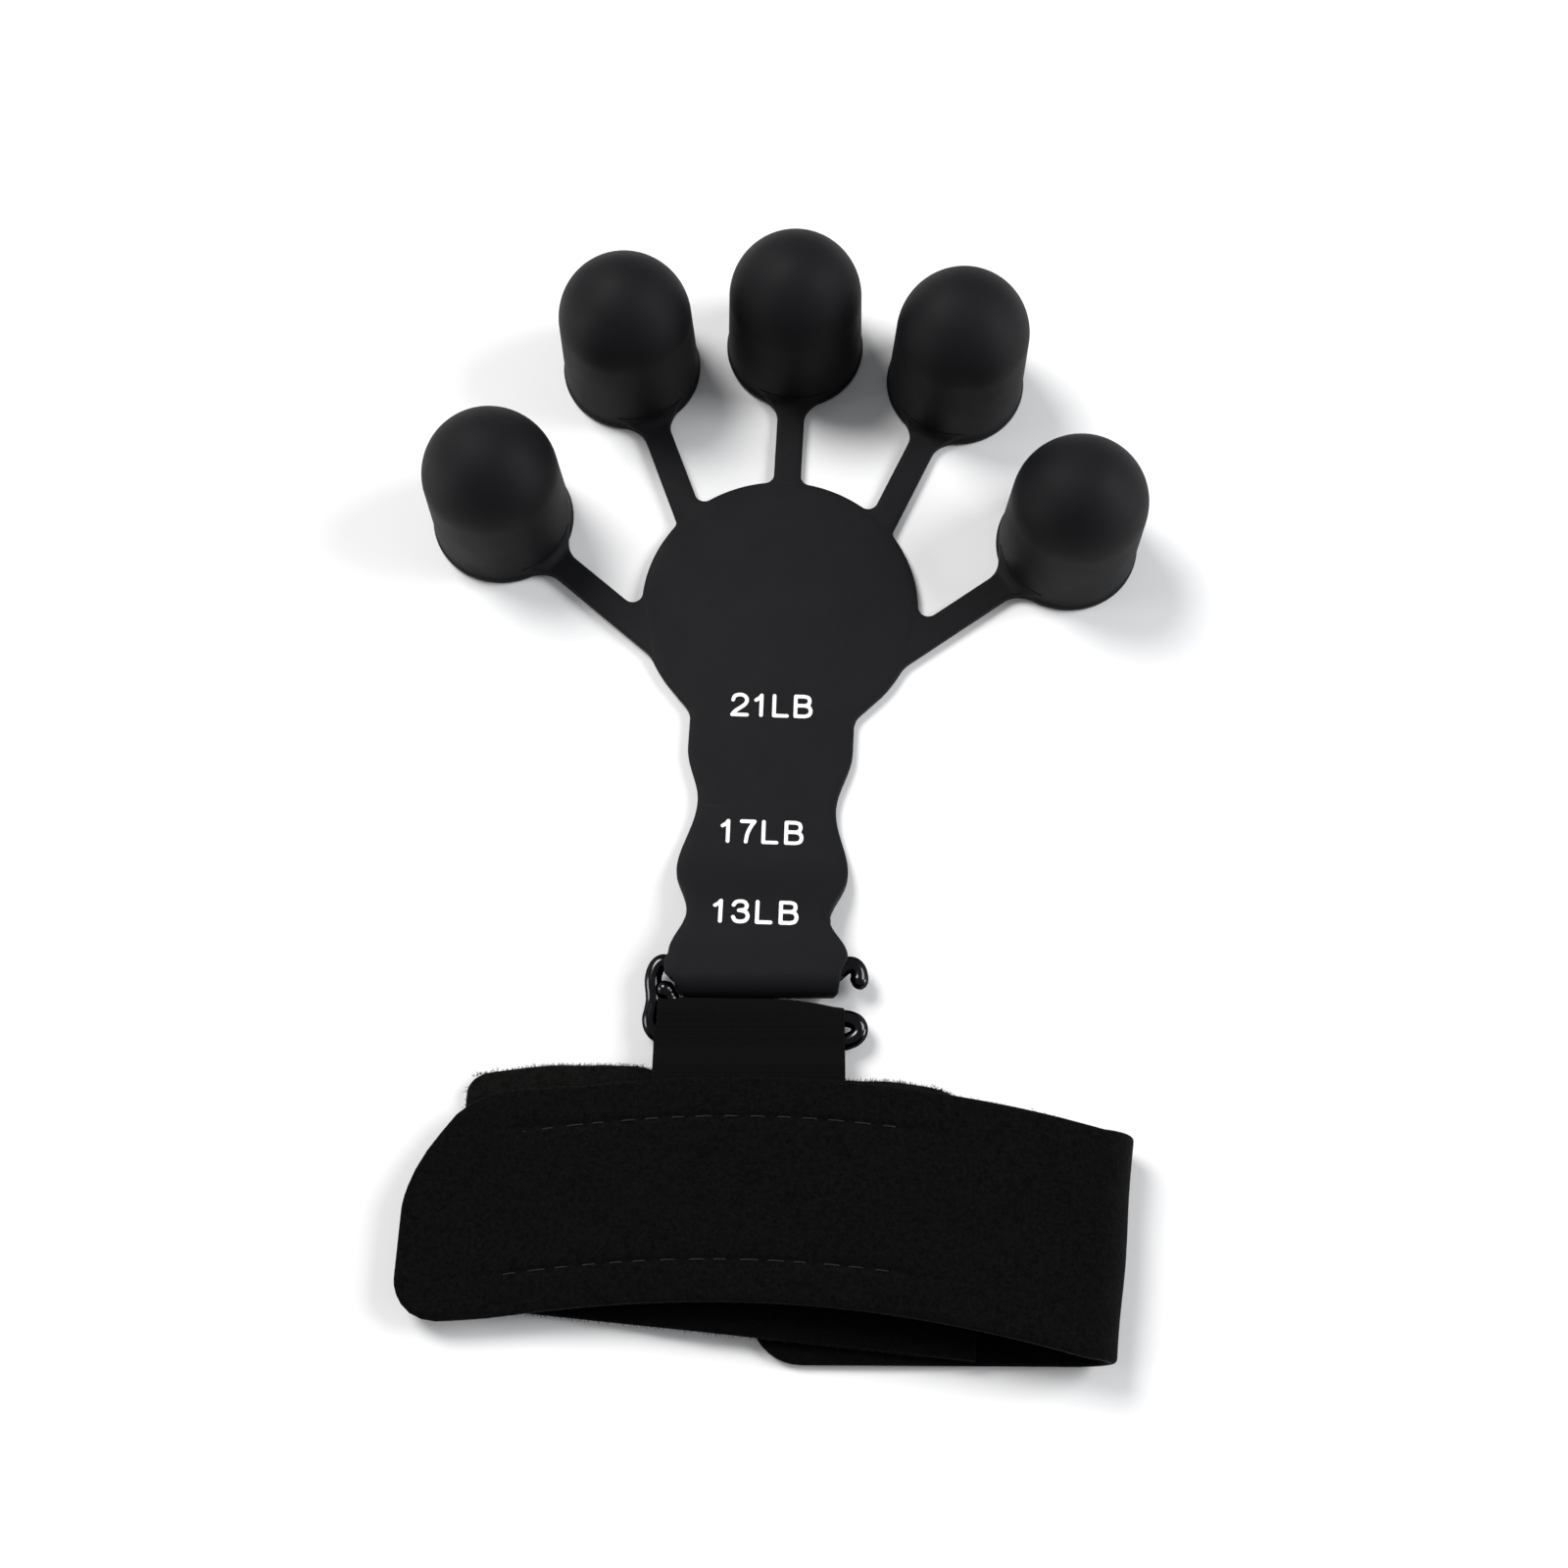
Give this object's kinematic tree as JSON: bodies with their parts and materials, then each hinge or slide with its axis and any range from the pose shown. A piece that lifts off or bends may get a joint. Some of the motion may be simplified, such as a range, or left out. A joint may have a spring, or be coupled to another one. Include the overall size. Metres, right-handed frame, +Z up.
{
  "type": "finger exerciser",
  "caption": "Flat silicone hand with cups for the fingertips, a notched arm, a bent-wire hook and an elastic loop on a hook-and-loop wrist strap; stretches the opening fingers.",
  "frame": {"origin": "centre of the palm disc, on its underside, at the height the part lies on", "axes": "+Y from the palm to the middle finger cup, +Z up out of the palm, +X to the right seen from above"},
  "size_m": [0.1288, 0.1979, 0.0298],
  "materials": {
    "silicone": "matte moulded silicone with a soft sheen",
    "wire": "glossy black coating on bent steel wire",
    "elastic": "ribbed woven elastic",
    "strap": "brushed loop fabric over thin foam",
    "hook_tape": "woven tape with fine stiff hooks"
  },
  "bodies": {
    "wrist_strap": {"strap_lower": "strap", "strap_panel": "strap"},
    "strap_flap": {"strap_tongue": "strap", "strap_hook_patch": "hook_tape"},
    "elastic_base": {"elastic_base": "elastic"},
    "hook_end": {"elastic_loop": "elastic", "double_hook": "wire"},
    "arm_lower": {"arm_lower": "silicone"},
    "arm_upper": {"arm_upper": "silicone"},
    "palm": {"palm_pad": "silicone"},
    "finger_far_left": {"strip_far_left": "silicone"},
    "cup_far_left": {"cup_far_left": "silicone"},
    "finger_left": {"strip_left": "silicone"},
    "cup_left": {"cup_left": "silicone"},
    "finger_middle": {"strip_middle": "silicone"},
    "cup_middle": {"cup_middle": "silicone"},
    "finger_right": {"strip_right": "silicone"},
    "cup_right": {"cup_right": "silicone"},
    "finger_far_right": {"strip_far_right": "silicone"},
    "cup_far_right": {"cup_far_right": "silicone"}
  },
  "joints": [
    {"name": "strap_open", "type": "hinge", "parent": "wrist_strap", "child": "strap_flap", "pos_m": [0.0616, -0.1114, 0.0056], "axis": [0.0768, 0.997, 0], "range_deg": [0, 170]},
    {"name": "elastic_stretch", "type": "slide", "parent": "wrist_strap", "child": "elastic_base", "axis": [-0.0523, 0.9986, 0], "range_m": [0, 0.008], "stiffness_N_per_m": 1500},
    {"name": "elastic_flex", "type": "hinge", "parent": "elastic_base", "child": "hook_end", "pos_m": [0.00085, -0.08388, 0.0052], "axis": [0.9986, 0.0523, 0], "range_deg": [-4, 75], "stiffness_Nm_per_rad": 0.02},
    {"name": "arm_pivot", "type": "hinge", "parent": "hook_end", "child": "arm_lower", "pos_m": [0.00005, -0.0686, 0.00345], "axis": [0.9986, 0.0523, 0], "range_deg": [-4, 90]},
    {"name": "arm_stretch", "type": "slide", "parent": "arm_lower", "child": "arm_upper", "axis": [0, 1, 0], "range_m": [0, 0.015], "stiffness_N_per_m": 3000},
    {"name": "palm_flex", "type": "hinge", "parent": "arm_upper", "child": "palm", "pos_m": [0, -0.028, 0.0009], "axis": [1, 0, 0], "range_deg": [-40, 60], "stiffness_Nm_per_rad": 0.06},
    {"name": "far_left_bend", "type": "hinge", "parent": "palm", "child": "finger_far_left", "pos_m": [-0.02804, -0.00309, 0.0009], "axis": [0.6157, 0.788, 0], "range_deg": [-30, 35], "stiffness_Nm_per_rad": 0.03},
    {"name": "far_left_stretch", "type": "slide", "parent": "finger_far_left", "child": "cup_far_left", "axis": [-0.788, 0.6157, 0], "range_m": [0, 0.015], "stiffness_N_per_m": 750},
    {"name": "left_bend", "type": "hinge", "parent": "palm", "child": "finger_left", "pos_m": [-0.01882, 0.01999, 0.0009], "axis": [0.9225, 0.3859, 0], "range_deg": [-30, 35], "stiffness_Nm_per_rad": 0.03},
    {"name": "left_stretch", "type": "slide", "parent": "finger_left", "child": "cup_left", "axis": [-0.3859, 0.9225, 0], "range_m": [0, 0.015], "stiffness_N_per_m": 750},
    {"name": "middle_bend", "type": "hinge", "parent": "palm", "child": "finger_middle", "pos_m": [0, 0.0266, 0.0009], "axis": [1, 0, 0], "range_deg": [-30, 35], "stiffness_Nm_per_rad": 0.03},
    {"name": "middle_stretch", "type": "slide", "parent": "finger_middle", "child": "cup_middle", "axis": [0, 1, 0], "range_m": [0, 0.015], "stiffness_N_per_m": 750},
    {"name": "right_bend", "type": "hinge", "parent": "palm", "child": "finger_right", "pos_m": [0.01882, 0.01999, 0.0009], "axis": [0.9225, -0.3859, 0], "range_deg": [-30, 35], "stiffness_Nm_per_rad": 0.03},
    {"name": "right_stretch", "type": "slide", "parent": "finger_right", "child": "cup_right", "axis": [0.3859, 0.9225, 0], "range_m": [0, 0.015], "stiffness_N_per_m": 750},
    {"name": "far_right_bend", "type": "hinge", "parent": "palm", "child": "finger_far_right", "pos_m": [0.02804, -0.00309, 0.0009], "axis": [0.6157, -0.788, 0], "range_deg": [-30, 35], "stiffness_Nm_per_rad": 0.03},
    {"name": "far_right_stretch", "type": "slide", "parent": "finger_far_right", "child": "cup_far_right", "axis": [0.788, 0.6157, 0], "range_m": [0, 0.015], "stiffness_N_per_m": 750}
  ]
}
